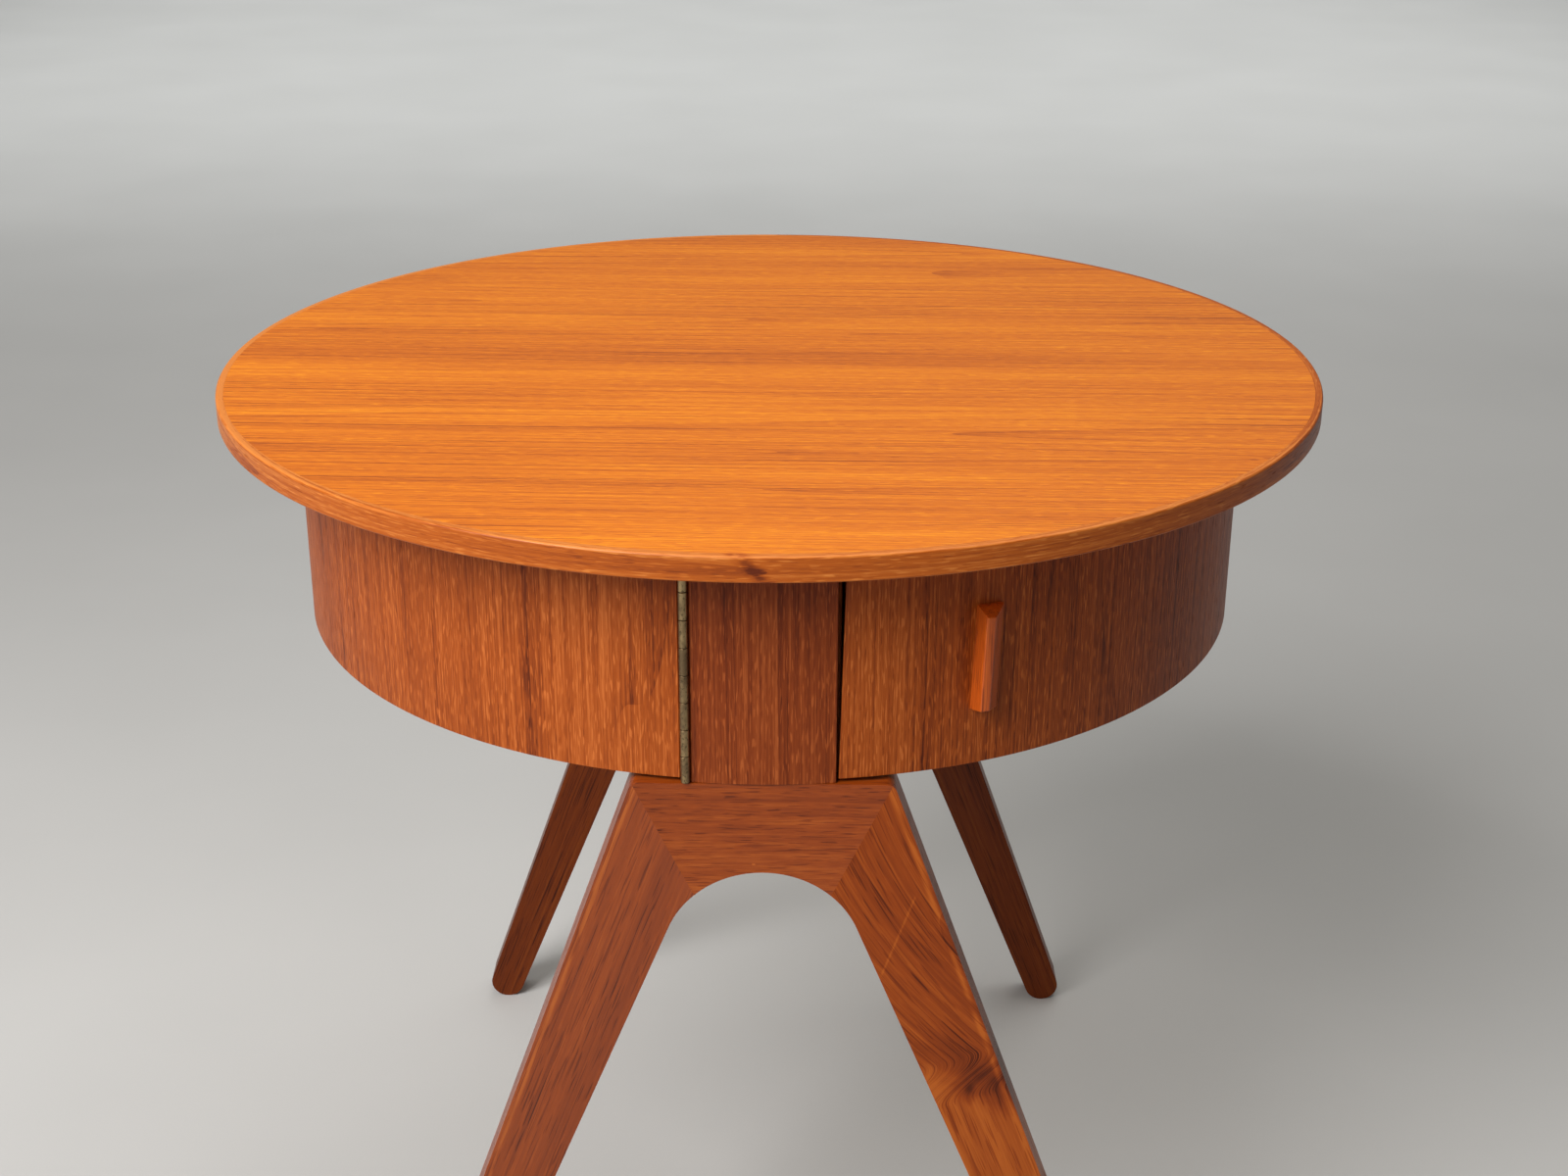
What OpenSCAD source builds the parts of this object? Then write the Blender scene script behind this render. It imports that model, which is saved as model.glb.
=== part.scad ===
// Round teak sewing table: two half-round trays swing out of a drum on two A-shaped leg frames.
// The floor is the XY plane, the drum's axis is Z and the front of the table faces -Y.
// Left and right are as seen from the front. The table looks the same turned half round about Z,
// so the right tray is the left one turned half round, and the rear frame is the front one.

/* [Tabletop] */
// Diameter of the tabletop
top_d = 580; // [560:5:620]
// Thickness of the tabletop
top_t = 12; // [12:1:16]
// Height of the tabletop's upper face above the floor
table_h = 550; // [520:5:600]
// Radial thickness of the solid edging
edging_t = 4; // [2:0.5:6]

/* [Drum] */
// Diameter of the drum
drum_d = 500; // [490:2:520]
// Height of the drum, from the underside of the tabletop
drum_h = 115; // [110:1:120]
// Width of the fixed spine between the two trays
spine_w = 67; // [64:1:72]
// Thickness of the spine's side boards
spine_side_t = 10; // [10:1:12]
// How much nearer to the tray a side board stands, outside its two rebates
spine_rebate = 2; // [1:0.1:2]
// Thickness of the spine's base and top rail
spine_board_t = 12; // [10:1:14]
// Thickness of the two end panels
panel_t = 7; // [6:0.5:9]

/* [Trays] */
// Thickness of the bent outer wall
wall_t = 9; // [8:0.5:10]
// Thickness of the straight side
side_t = 8; // [7:0.5:10]
// Thickness of the bottom panel
bottom_t = 5; // [4:0.5:6]
// Depth of the groove that holds the bottom panel
groove_d = 3; // [2:0.5:4]
// Thickness of a divider
divider_t = 6; // [4:0.5:8]
// Height of a divider above the bottom panel
divider_h = 60; // [40:1:70]
// Clearance under the tabletop
gap_above = 1.5; // [1:0.5:3]
// Clearance over the leg frames
gap_below = 2; // [1.5:0.5:3]
// Gap beside the free edge, at the top
free_gap_top = 3.7; // [3:0.1:4]
// Gap beside the free edge, at the bottom
free_gap_low = 1.1; // [1:0.1:3]

/* [Handles] */
// Angle round the drum from the middle of the end panel to a handle
handle_a = 23.8; // [20:0.1:30]
// Height of a handle at the wall
handle_h = 51; // [45:0.5:60]
// Width of a handle at the wall
handle_w = 12.5; // [11:0.5:14]
// How far a handle stands out
handle_d = 10; // [9:0.5:13]
// Width of a handle's flat front
handle_front_w = 4.5; // [3:0.5:6]
// How much a handle's front is shortened at each end
handle_bevel = 2.5; // [1:0.5:6]
// How far a handle leans from plumb
handle_lean = 2; // [0:0.5:3]

/* [Leg frames] */
// Thickness of the leg frames
frame_t = 22; // [20:1:26]
// Half the width of a frame at its top
frame_top_x = 60; // [58:1:64]
// Half the width of a frame at the floor, to the legs' outer edges
foot_outer_x = 210.5; // [205:0.5:215]
// Half the width of a frame at the floor, to the legs' inner edges
foot_inner_x = 186.5; // [182:0.5:190]
// Where a leg's inner edge would meet the drum
frame_inner_x = 13; // [10:0.5:16]
// Depth of the crosspiece at the crown of the arch
crown_h = 46; // [43:1:50]
// Angle round the arch at which the mitre ends
mitre_a = 48; // [42:0.5:50]

/* [Hinges] */
// Radius of a hinge's barrel
barrel_r = 2.1; // [2:0.05:2.3]
// Length of one knuckle
knuckle_h = 13.4; // [12:0.1:15]
// Width of a leaf, from the barrel's axis
leaf_w = 13; // [12:0.5:15]

/* [Hidden] */

$fn = 96;
fit = 0.02;             // radial clearance of a screw or dowel in its hole
play = 0.1;             // clearance of a panel in its groove
past = 1;               // how far a cutter runs past the face that it opens
top_r = top_d / 2;
under_z = table_h - top_t;
base_z = under_z - drum_h;
drum_r = drum_d / 2;
spine_x = spine_w / 2;
inner_x = spine_x - spine_side_t;
panel_y = drum_r - panel_t;

// Hinge: its axis is midway between the spine and the tray, just proud of the drum.
leaf_t = 0.8;
leaf_gap = 1.4;
pin_r = 1.1;
bore_r = 1.15;
relief_r = barrel_r + 0.5;
knuckle_gap = 0.3;
hinge_proud = 0.8;
hinge_z = base_z + 0.5;
hinge_h = drum_h - 1.5;
hinge_x = spine_x + leaf_t + leaf_gap / 2;
hinge_y = sqrt(pow(drum_r + hinge_proud, 2) - pow(hinge_x, 2));
knuckles = ceil(hinge_h / knuckle_h);
leaf_screw_r = 1.2;
leaf_screw_l = 8;
leaf_screw_y = 8.2;
leaf_screw_z = [for (k = [0 : 3]) (0.12 + 0.24 * k) * hinge_h];
leaf_screw_step = 6;
hinge_rebate_y = hinge_y - leaf_w - 2;

// Tray: its levels, and the plane of the straight side's outer face.
tray_x = spine_x + 2 * leaf_t + leaf_gap;
side_in_x = tray_x + side_t;
wall_r = drum_r - wall_t;
tray_z = base_z + gap_below;
tray_h = drum_h - gap_below - gap_above;
bottom_z = tray_z + 4;
floor_z = bottom_z + bottom_t;
cross_divider_y = 75;
long_divider_x = 140;
edge_rebate_y = wall_r - 5;

handle_z = base_z + drum_h / 2 - 2;
handle_base_d = 2;
handle_screw_r = 1.5;
handle_screw_l = 14;
handle_screw_z = [-14, 14];

// Catch: a magnet in the spine and a plate in the tray's straight side
catch_y = drum_r - 24;
catch_z = base_z + drum_h / 2;
magnet_r = 5;
magnet_l = 10;
plate_r = 7;
plate_t = 1;

// Leg frame: the slopes of the leg's edges, then the rounds that meet them.
outer_m = (foot_outer_x - frame_top_x) / base_z;
inner_m = (foot_inner_x - frame_inner_x) / base_z;
outer_n = sqrt(1 + outer_m * outer_m);
inner_n = sqrt(1 + inner_m * inner_m);
outer_a = atan(outer_m);
inner_a = atan(inner_m);
foot_r = (foot_outer_x - foot_inner_x) / (outer_m + outer_n - inner_m + inner_n);
foot_x = foot_outer_x - (outer_m + outer_n) * foot_r;
arch_r = (frame_inner_x + inner_m * crown_h) / (inner_n - inner_m);
arch_z = base_z - crown_h - arch_r;
corner_r = 5;
corner_x = frame_top_x + (outer_m - outer_n) * corner_r;
corner_z = base_z - corner_r;
corner_a = (90 + outer_a) / 2;
frame_y = drum_r - 1;
mitre_top = [corner_x + corner_r * cos(corner_a), corner_z + corner_r * sin(corner_a)];
mitre_low = [arch_r * cos(mitre_a), arch_z + arch_r * sin(mitre_a)];
dowel_r = 3;
dowel_l = 26;

// Screws of the stand
frame_screw_x = [-15, 0, 15];
frame_screw_y = panel_y - 7;
frame_screw_r = 2.2;
frame_screw_l = 40;
top_screw_y = [-200, -70, 70, 200];
top_screw_r = 2;
top_screw_l = 19;

teak = "peru";
teak_dark = "sienna";
plywood = "burlywood";
brass = "darkkhaki";
steel = "silver";

function arc(x, y, r, a0, a1, n) = [
    for (k = [0 : n]) let (a = a0 + (a1 - a0) * k / n) [x + r * cos(a), y + r * sin(a)]
];

module half_turn() rotate([0, 0, 180]) children();

// --- Fasteners ---------------------------------------------------------------------------

// Countersunk screw: its head's face is at the origin and it runs along +Z.
module screw(r, length) {
    cylinder(r1 = 2 * r, r2 = r, h = r, $fn = 32);
    translate([0, 0, r]) cylinder(r = r, h = length - 2 * r, $fn = 32);
    translate([0, 0, length - r]) cylinder(r1 = r, r2 = r / 3, h = r, $fn = 32);
}

// The hole that the same screw fills, open above its head.
module screw_hole(r, length) {
    translate([0, 0, -past]) cylinder(r = 2 * r + fit, h = past, $fn = 32);
    cylinder(r1 = 2 * r + fit, r2 = r + fit, h = r, $fn = 32);
    cylinder(r = r + fit, h = length + fit, $fn = 32);
}

// Screws that hold the tabletop, driven up through the top rail.
module at_top_screws() for (y = top_screw_y) translate([0, y, under_z - spine_board_t]) children();

// Screws that hold the front frame, driven down through the spine's base.
module at_frame_screws() for (x = frame_screw_x)
    translate([x, -frame_screw_y, base_z + spine_board_t]) rotate([180, 0, 0]) children();

module tabletop_screws() color(steel) at_top_screws() screw(top_screw_r, top_screw_l);

module frame_screws() color(steel) at_frame_screws() screw(frame_screw_r, frame_screw_l);

// --- Tabletop ----------------------------------------------------------------------------

module tabletop() color(teak) difference() {
    translate([0, 0, under_z]) cylinder(r = top_r - edging_t, h = top_t, $fn = 180);
    at_top_screws() screw_hole(top_screw_r, top_screw_l);
}

module tabletop_edging() color(teak_dark) translate([0, 0, under_z]) difference() {
    cylinder(r = top_r, h = top_t, $fn = 180);
    translate([0, 0, -past]) cylinder(r = top_r - edging_t, h = top_t + 2 * past, $fn = 180);
}

// --- Hinges ------------------------------------------------------------------------------
// The left hinge is drawn about its own axis, with the spine to its +X side, the tray to its
// -X side and both leaves folded back along +Y.

module at_hinge() translate([-hinge_x, -hinge_y, hinge_z]) children();

module at_fixed_leaf_screws() at_hinge() for (z = leaf_screw_z)
    translate([leaf_gap / 2, leaf_screw_y, z]) rotate([0, 90, 0]) children();

module at_tray_leaf_screws() at_hinge() for (z = leaf_screw_z)
    translate([-leaf_gap / 2, leaf_screw_y, z + leaf_screw_step]) rotate([0, -90, 0]) children();

// Room for the barrel in the wood on both sides of it.
module barrel_relief() at_hinge() translate([0, 0, -drum_h]) cylinder(r = relief_r, h = 3 * drum_h);

// A leaf that reaches +X from the barrel, with every second knuckle from the first one given.
module leaf(first, hole_r) difference() {
    union() {
        translate([leaf_gap / 2, relief_r, 0]) cube([leaf_t, leaf_w - relief_r, hinge_h]);
        for (k = [first : 2 : knuckles - 1]) {
            low = k * knuckle_h + knuckle_gap / 2;
            high = min((k + 1) * knuckle_h - knuckle_gap / 2, hinge_h);
            translate([0, 0, low]) cylinder(r = barrel_r, h = high - low, $fn = 48);
            translate([leaf_gap / 2, 0, low]) cube([leaf_t, leaf_w / 2, high - low]);
        }
    }
    translate([0, 0, -past]) cylinder(r = hole_r, h = hinge_h + 2 * past, $fn = 48);
}

module fixed_leaf() color(brass) difference() {
    at_hinge() leaf(0, pin_r);
    at_fixed_leaf_screws() screw_hole(leaf_screw_r, leaf_screw_l);
}

module tray_leaf() color(brass) difference() {
    at_hinge() mirror([1, 0, 0]) leaf(1, bore_r);
    at_tray_leaf_screws() screw_hole(leaf_screw_r, leaf_screw_l);
}

module hinge_pin() color(steel) at_hinge() cylinder(r = pin_r, h = hinge_h, $fn = 48);

module fixed_leaf_screws() color(brass) at_fixed_leaf_screws() screw(leaf_screw_r, leaf_screw_l);

module tray_leaf_screws() color(brass) at_tray_leaf_screws() screw(leaf_screw_r, leaf_screw_l);

// --- Catch -------------------------------------------------------------------------------

module magnet(grow, out) translate([-spine_x - spine_rebate - out, catch_y, catch_z]) rotate([0, 90, 0])
    cylinder(r = magnet_r + grow, h = magnet_l + grow + out);

module plate(grow, h) translate([-tray_x - plate_t, catch_y, catch_z]) rotate([0, 90, 0])
    cylinder(r = plate_r + grow, h = h);

module catch_magnet() color(steel) magnet(0, 0);

module catch_plate() color(steel) plate(0, plate_t);

// --- Spine -------------------------------------------------------------------------------

// The left side board. The hinge is screwed into the rebate at its front end, the rebate at its
// rear end clears the tray's free edge, and the magnet is let in flush beside that.
module spine_side() color(teak) difference() {
    union() {
        translate([-spine_x, -panel_y, base_z]) cube([spine_side_t, 2 * panel_y, drum_h]);
        translate([-spine_x - spine_rebate, -hinge_rebate_y, base_z])
            cube([spine_side_t, hinge_rebate_y + edge_rebate_y, drum_h]);
    }
    at_fixed_leaf_screws() screw_hole(leaf_screw_r, leaf_screw_l);
    magnet(fit, past);
}

module spine_board(z) translate([-inner_x, -panel_y, z]) cube([2 * inner_x, 2 * panel_y, spine_board_t]);

module spine_base() color(plywood) difference() {
    spine_board(base_z);
    at_frame_screws() screw_hole(frame_screw_r, frame_screw_l);
    half_turn() at_frame_screws() screw_hole(frame_screw_r, frame_screw_l);
}

module spine_top_rail() color(plywood) difference() {
    spine_board(under_z - spine_board_t);
    at_top_screws() screw_hole(top_screw_r, top_screw_l);
}

// The front end panel, which follows the drum.
module end_panel() color(teak_dark) difference() {
    intersection() {
        translate([0, 0, base_z]) cylinder(r = drum_r, h = drum_h, $fn = 180);
        translate([-spine_x, -drum_r, base_z]) cube([spine_w, panel_t, drum_h]);
    }
    barrel_relief();
}

// --- Leg frames --------------------------------------------------------------------------

// Outline of the right leg, in the frame's own plane.
module leg_outline() polygon(concat(
    arc(corner_x, corner_z, corner_r, corner_a, outer_a, 6),
    arc(foot_x, foot_r, foot_r, outer_a, inner_a - 180, 24),
    arc(0, arch_z, arch_r, inner_a, mitre_a, 8)
));

module crosspiece_outline() polygon(concat(
    arc(corner_x, corner_z, corner_r, corner_a, 90, 6),
    arc(-corner_x, corner_z, corner_r, 90, 180 - corner_a, 6),
    arc(0, arch_z, arch_r, 180 - mitre_a, mitre_a, 28)
));

// Stands an outline up as a piece of the front frame.
module front_frame() translate([0, frame_t - frame_y, 0]) rotate([90, 0, 0]) linear_extrude(frame_t) children();

// Two dowels lie square across the right mitre.
module mitre_dowels(grow) for (share = [0.32, 0.7]) {
    run = mitre_low - mitre_top;
    at = mitre_top + share * run;
    translate([at[0], frame_t / 2 - frame_y, at[1]]) rotate([0, 90 + atan2(run[0], run[1]), 0])
        cylinder(r = dowel_r + grow, h = dowel_l + 2 * grow, center = true, $fn = 32);
}

module leg() color(teak_dark) difference() {
    front_frame() leg_outline();
    mitre_dowels(fit);
}

module crosspiece() color(teak_dark) difference() {
    front_frame() crosspiece_outline();
    mitre_dowels(fit);
    mirror([1, 0, 0]) mitre_dowels(fit);
    at_frame_screws() screw_hole(frame_screw_r, frame_screw_l);
}

module dowels() color(plywood) {
    mitre_dowels(0);
    mirror([1, 0, 0]) mitre_dowels(0);
}

// --- Left tray ---------------------------------------------------------------------------

// The space that the tray may fill beside the spine: plumb at the hinge, slanted at the free edge.
module tray_space() {
    low_x = -spine_x - free_gap_low;
    high_x = -spine_x - free_gap_top;
    high_z = tray_z + tray_h;
    translate([-drum_r - past, -drum_r, tray_z]) cube([drum_r + past - tray_x, drum_r, tray_h]);
    translate([0, drum_r, 0]) rotate([90, 0, 0]) linear_extrude(drum_r)
        polygon([[-drum_r - past, tray_z], [low_x, tray_z], [high_x, high_z], [-drum_r - past, high_z]]);
}

// The bottom panel, or with play the groove that it sits in.
module bottom_panel(grow) translate([0, 0, bottom_z - grow]) intersection() {
    cylinder(r = wall_r + groove_d + grow, h = bottom_t + 2 * grow, $fn = 180);
    translate([-drum_r - side_in_x + groove_d + grow, -drum_r, -past]) cube([drum_r, drum_d, bottom_t + 3 * past]);
}

module tray_wall() color(teak) difference() {
    intersection() {
        translate([0, 0, tray_z]) cylinder(r = drum_r, h = tray_h, $fn = 180);
        tray_space();
    }
    translate([0, 0, tray_z - past]) cylinder(r = wall_r, h = tray_h + 2 * past, $fn = 180);
    bottom_panel(play);
    barrel_relief();
    at_tray_leaf_screws() screw_hole(leaf_screw_r, leaf_screw_l);
    at_handle_screws() screw_hole(handle_screw_r, handle_screw_l);
}

module tray_side() color(teak) difference() {
    intersection() {
        translate([0, 0, tray_z]) cylinder(r = wall_r, h = tray_h, $fn = 180);
        translate([-side_in_x, -drum_r, tray_z]) cube([side_t, drum_d, tray_h]);
    }
    bottom_panel(play);
    at_tray_leaf_screws() screw_hole(leaf_screw_r, leaf_screw_l);
    plate(fit, plate_t + past);
}

module tray_bottom() color(plywood) bottom_panel(0);

// A divider across the tray, from its straight side to its bent wall.
module cross_divider(y) color(plywood) intersection() {
    translate([0, 0, floor_z]) cylinder(r = wall_r, h = divider_h, $fn = 180);
    translate([-drum_r - side_in_x, y - divider_t / 2, floor_z]) cube([drum_r, divider_t, divider_h]);
}

// A divider along the tray, between the two that run across it.
module long_divider() color(plywood) translate([-long_divider_x, divider_t / 2 - cross_divider_y, floor_z])
    cube([divider_t, 2 * cross_divider_y - divider_t, divider_h]);

// Puts a handle's own frame on the bent wall: +Y points outwards and +X towards the free edge.
module at_handle() rotate([0, 0, handle_a]) translate([0, drum_r, handle_z])
    rotate([0, -handle_lean, 0]) children();

module at_handle_screws() at_handle() for (z = handle_screw_z)
    translate([0, past / 2 - wall_t, z]) rotate([-90, 0, 0]) children();

// A bar with a square side to pull on, a flat front, a sloping back and bevelled ends.
module handle() color(teak_dark) difference() {
    at_handle() intersection() {
        linear_extrude(handle_h, center = true) polygon([
            [-handle_w / 2, -past], [handle_w / 2, -past], [handle_w / 2, handle_d],
            [handle_w / 2 - handle_front_w, handle_d], [-handle_w / 2, handle_base_d]
        ]);
        rotate([0, -90, 0]) linear_extrude(handle_w, center = true) polygon([
            [-handle_h / 2, -past], [handle_h / 2, -past], [handle_h / 2, handle_base_d],
            [handle_h / 2 - handle_bevel, handle_d], [handle_bevel - handle_h / 2, handle_d],
            [-handle_h / 2, handle_base_d]
        ]);
    }
    translate([0, 0, tray_z]) cylinder(r = drum_r, h = tray_h, $fn = 180);
    at_handle_screws() screw_hole(handle_screw_r, handle_screw_l);
}

module handle_screws() color(steel) at_handle_screws() screw(handle_screw_r, handle_screw_l);

// --- Nodes -------------------------------------------------------------------------------

tabletop();
tabletop_edging();
tabletop_screws();
spine_side();  // spine_left_side
half_turn() spine_side();  // spine_right_side
spine_base();
spine_top_rail();
end_panel();  // front_panel
half_turn() end_panel();  // rear_panel

mirror([1, 0, 0]) leg();  // front_left_leg
leg();  // front_right_leg
crosspiece();  // front_crosspiece
dowels();  // front_dowels
frame_screws();  // front_frame_screws
half_turn() leg();  // rear_left_leg
half_turn() mirror([1, 0, 0]) leg();  // rear_right_leg
half_turn() crosspiece();  // rear_crosspiece
half_turn() dowels();  // rear_dowels
half_turn() frame_screws();  // rear_frame_screws

fixed_leaf();  // left_fixed_leaf
hinge_pin();  // left_hinge_pin
fixed_leaf_screws();  // left_fixed_leaf_screws
catch_magnet();  // left_catch_magnet
half_turn() fixed_leaf();  // right_fixed_leaf
half_turn() hinge_pin();  // right_hinge_pin
half_turn() fixed_leaf_screws();  // right_fixed_leaf_screws
half_turn() catch_magnet();  // right_catch_magnet

tray_wall();  // left_tray_wall
tray_side();  // left_tray_side
tray_bottom();  // left_tray_bottom
cross_divider(-cross_divider_y);  // left_front_divider
cross_divider(cross_divider_y);  // left_rear_divider
handle();  // left_handle
handle_screws();  // left_handle_screws
tray_leaf();  // left_tray_leaf
tray_leaf_screws();  // left_tray_leaf_screws
catch_plate();  // left_catch_plate

half_turn() tray_wall();  // right_tray_wall
half_turn() tray_side();  // right_tray_side
half_turn() tray_bottom();  // right_tray_bottom
half_turn() cross_divider(cross_divider_y);  // right_front_divider
half_turn() cross_divider(-cross_divider_y);  // right_rear_divider
half_turn() long_divider();  // right_long_divider
half_turn() handle();  // right_handle
half_turn() handle_screws();  // right_handle_screws
half_turn() tray_leaf();  // right_tray_leaf
half_turn() tray_leaf_screws();  // right_tray_leaf_screws
half_turn() catch_plate();  // right_catch_plate
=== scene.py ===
"""Round teak sewing table: a drum of two swing-out trays under a round top, on two A-shaped frames.

Lengths are in metres. The floor is z = 0, the drum's axis is Z and the front of the table faces -Y.
The right tray is the left one turned half round, and the rear frame is the front one.
"""
from math import asin, atan2, cos, hypot, pi, radians, sin, sqrt

import bmesh
import bpy
from mathutils import Matrix, Vector


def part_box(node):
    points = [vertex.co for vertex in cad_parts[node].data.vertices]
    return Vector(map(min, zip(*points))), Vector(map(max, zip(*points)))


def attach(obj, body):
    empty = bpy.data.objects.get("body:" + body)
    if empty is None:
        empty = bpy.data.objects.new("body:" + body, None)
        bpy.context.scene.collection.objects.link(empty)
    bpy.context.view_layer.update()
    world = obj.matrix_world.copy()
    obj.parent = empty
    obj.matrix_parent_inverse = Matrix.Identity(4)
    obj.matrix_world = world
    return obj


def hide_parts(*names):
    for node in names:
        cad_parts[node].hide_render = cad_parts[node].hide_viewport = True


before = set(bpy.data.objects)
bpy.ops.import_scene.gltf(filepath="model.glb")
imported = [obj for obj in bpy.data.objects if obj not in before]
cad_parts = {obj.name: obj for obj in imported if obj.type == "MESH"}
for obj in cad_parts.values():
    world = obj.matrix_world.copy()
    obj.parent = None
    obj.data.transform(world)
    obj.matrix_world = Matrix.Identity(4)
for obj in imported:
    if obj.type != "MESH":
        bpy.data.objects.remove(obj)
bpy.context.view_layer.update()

MM = 0.001
STAND, LEFT, RIGHT = "stand", "left_tray", "right_tray"

# Sizes that the frame gives
TOP_LOW, TOP_HIGH = (Vector(corner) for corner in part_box("tabletop_edging"))
TOP_R = TOP_HIGH.y
PANEL_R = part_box("tabletop")[1][1]
DRUM_R = -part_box("front_panel")[0][1]
PIN_LOW, PIN_HIGH = (Vector(corner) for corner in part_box("left_hinge_pin"))
HINGE = (PIN_LOW + PIN_HIGH) / 2

# Sizes that its boxes don't show
WALL_T = 9 * MM
FREE_EDGE_TOP_X = -37.2 * MM  # of the left tray's wall, which is out of plumb there
BARREL_R = 2.1 * MM
LEG_LEAN = radians(21)

# Roundings and chamfers
BOARD_ARRIS = 0.6 * MM
PANEL_ARRIS = 0.4 * MM
WALL_ARRIS = 0.5 * MM
HANDLE_ARRIS = 0.5 * MM
FRAME_ARRIS = 2.2 * MM  # as asked: the clamp in bevel() narrows it to less than 0.1 mm
PANEL_HINGE_CHAMFER = 1.5 * MM
WALL_HINGE_CHAMFER = 1.2 * MM
KNUCKLE_RIM = 0.2 * MM
DISC_RIM = 0.3 * MM
VENEER_SEAM = 0.05 * MM


# --- Shader maths -------------------------------------------------------------------------------

class Value:
    """A socket of a finish, so that shader maths is written as an expression."""

    def __init__(self, finish, socket):
        self.finish = finish
        self.socket = socket

    def math(self, operation, *others):
        return self.finish.node("Math", {"operation": operation}, dict(enumerate((self, *others))))

    def __add__(self, other):
        return self.math("ADD", other)

    def __mul__(self, other):
        return self.math("MULTIPLY", other)

    def __sub__(self, other):
        return self.math("SUBTRACT", other)

    def __rsub__(self, other):
        return self.finish.node("Math", {"operation": "SUBTRACT"}, {0: other, 1: self})

    def __pow__(self, other):
        return self.math("POWER", other)

    def __abs__(self):
        return self.math("ABSOLUTE")

    __radd__ = __add__
    __rmul__ = __mul__

    def clamp(self):
        return self.finish.node("Clamp", {}, {"Value": self})

    def step(self, low, high):
        """0 up to low and 1 from high, with a smooth rise between them; low may be the larger."""
        settings = {"interpolation_type": "SMOOTHSTEP"}
        return self.finish.node("MapRange", settings, {"Value": self, 1: low, 2: high})

    def near(self, place, width):
        """1 at a place, and 0 a width away from it."""
        return abs(self - place).step(width, 0)


class Finish:
    """A procedural material on a Principled shader."""

    def __init__(self, name, **constants):
        self.material = bpy.data.materials.new(name)
        self.material.use_nodes = True
        self.tree = self.material.node_tree
        self.shader = self.tree.nodes["Principled BSDF"]
        for socket, value in constants.items():
            self.shader.inputs[socket.replace("_", " ")].default_value = value

    def node(self, kind, settings, inputs, output=0):
        """Adds a node: its settings first, then the values or links of its sockets."""
        made = self.tree.nodes.new("ShaderNode" + kind)
        for key, value in settings.items():
            if key == "stops":
                self.set_stops(made.color_ramp, value)
            else:
                setattr(made, key, value)
        for key, value in inputs.items():
            if isinstance(value, Value):
                self.tree.links.new(value.socket, made.inputs[key])
            else:
                made.inputs[key].default_value = value
        return Value(self, made.outputs[output])

    @staticmethod
    def set_stops(ramp, stops):
        while len(ramp.elements) < len(stops):
            ramp.elements.new(1)
        for element, (place, colour) in zip(ramp.elements, stops):
            element.position = place
            element.color = (*colour, 1)

    def set(self, socket, value):
        self.tree.links.new(value.socket, self.shader.inputs[socket])

    def place(self, turn=(0, 0, 0), shift=(0, 0, 0)):
        """Object coordinates, turned and then shifted. The grain runs along Z."""
        here = self.node("TexCoord", {}, {}, output="Object")
        return self.node("Mapping", {}, {"Vector": here, "Rotation": turn, "Location": shift})

    def along_x(self, turn=0, shift=(0, 0, 0)):
        """Grain space for a board with its grain along X, turned about Z."""
        x, y, z = self.parts(self.place((0, 0, turn), shift))
        return self.join(y, z, x)

    def wrapped(self, along_first=False, shift=0):
        """Grain space for a bent piece, whose UV map is the distance round it, then up it."""
        u, v, _ = self.parts(self.node("TexCoord", {}, {}, output="UV"))
        return self.join(v, shift, u) if along_first else self.join(u, shift, v)

    def parts(self, vector):
        return [self.node("SeparateXYZ", {}, {0: vector}, output=axis) for axis in "XYZ"]

    def join(self, x, y, z):
        return self.node("CombineXYZ", {}, {0: x, 1: y, 2: z})

    def noise(self, point, across, along, detail=2, roughness=0.5):
        """Noise with so many features a metre across the grain and along it; its mean is 0.5."""
        rates = across, across, along
        scaled = self.node("VectorMath", {"operation": "MULTIPLY"}, {0: point, 1: rates})
        inputs = {"Vector": scaled, "Scale": 1, "Detail": detail, "Roughness": roughness}
        return self.node("TexNoise", {}, inputs)

    def ramp(self, value, stops):
        return self.node("ValToRGB", {"stops": stops}, {0: value})

    def mix(self, share, first, second):
        """A mix of two colours, each a socket or a tuple."""
        inputs = {0: share}
        for key, colour in ((6, first), (7, second)):
            inputs[key] = (*colour, 1) if isinstance(colour, tuple) else colour
        return self.node("Mix", {"data_type": "RGBA"}, inputs, output=2)

    def bump(self, height, depth):
        """Bumps of that depth in metres where height runs from 0 to 1."""
        self.set("Normal", self.node("Bump", {}, {"Strength": 1, "Distance": depth, "Height": height}))


# --- Wood ---------------------------------------------------------------------------------------

MIDDLE_TONE = 0.55
TONE_PLACES = 0.0, 0.3, 0.58, 0.95


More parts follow.
